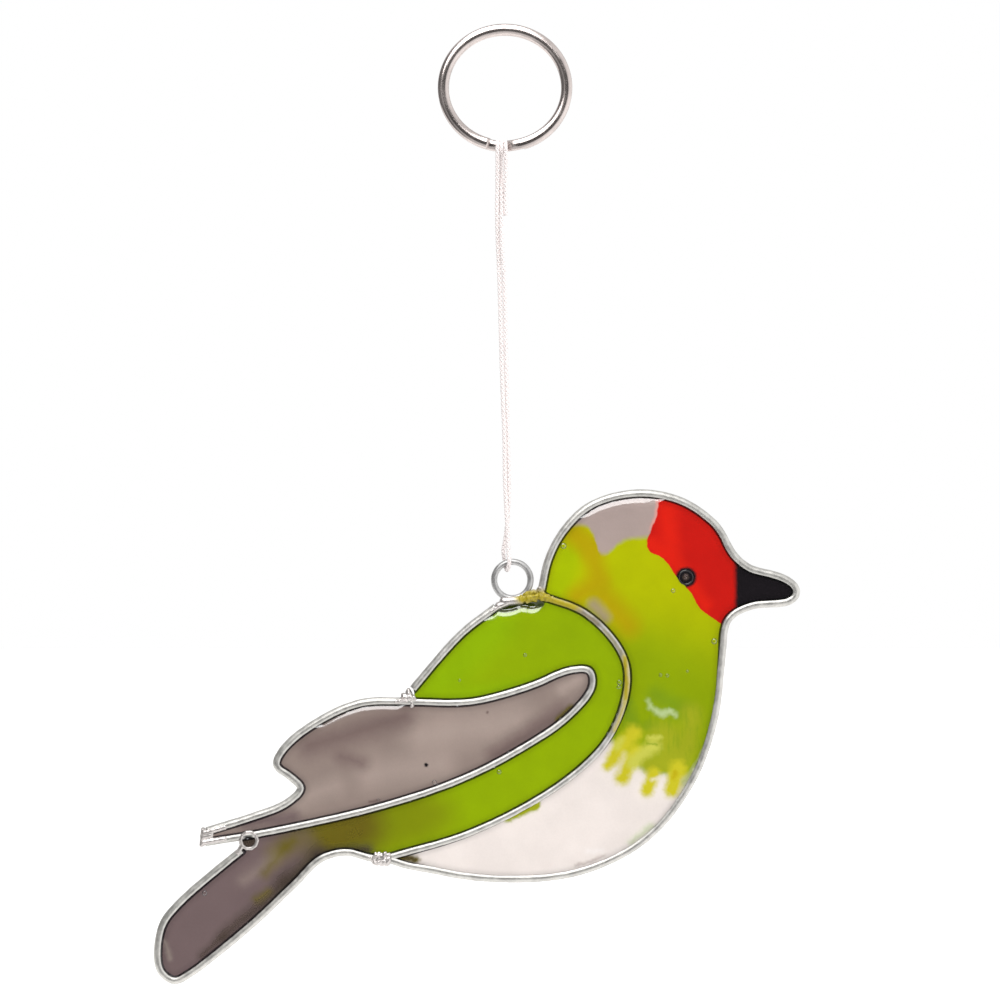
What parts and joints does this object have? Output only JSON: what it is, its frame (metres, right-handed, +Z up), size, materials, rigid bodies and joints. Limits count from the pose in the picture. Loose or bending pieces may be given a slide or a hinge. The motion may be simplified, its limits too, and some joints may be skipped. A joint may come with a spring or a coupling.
{
  "type": "stained glass suncatcher",
  "caption": "Hanging bird of soldered wire filled with coloured resin, with a jump ring on its back, a doubled white cord and a split ring to hang it from.",
  "frame": {"origin": "the point it hangs from: the top of the split ring's eye, on the underside of the ring", "axes": "+Z up along the hanging cord, the bird's front faces -Y and the bird looks towards +X"},
  "size_m": [0.1225, 0.005, 0.1823],
  "materials": {
    "silver_wire": "bright silver plate, drawn smooth",
    "solder": "lumpy, bright to grey",
    "chrome_ring": "polished nickel chrome",
    "white_cord": "braided",
    "body_resin": "glossy translucent resin, several colours run into each other",
    "wing_resin": "glossy translucent resin, green to brown",
    "feather_resin": "glossy translucent grey resin",
    "black_bead": "glossy"
  },
  "bodies": {
    "root": {"split_ring": "chrome_ring", "cord": "white_cord", "hanging_loop": "silver_wire", "body_wire": "silver_wire", "back_wire": "silver_wire", "wing_wire": "silver_wire", "feather_wire": "silver_wire", "tail_wire": "silver_wire", "shoulder_solder": "solder", "back_solder": "solder", "tail_solder": "solder", "belly_solder": "solder", "feather_end_solder": "solder", "body_panel": "body_resin", "wing_panel": "wing_resin", "feather_panel": "feather_resin", "eye_bead": "black_bead"}
  },
  "joints": []
}
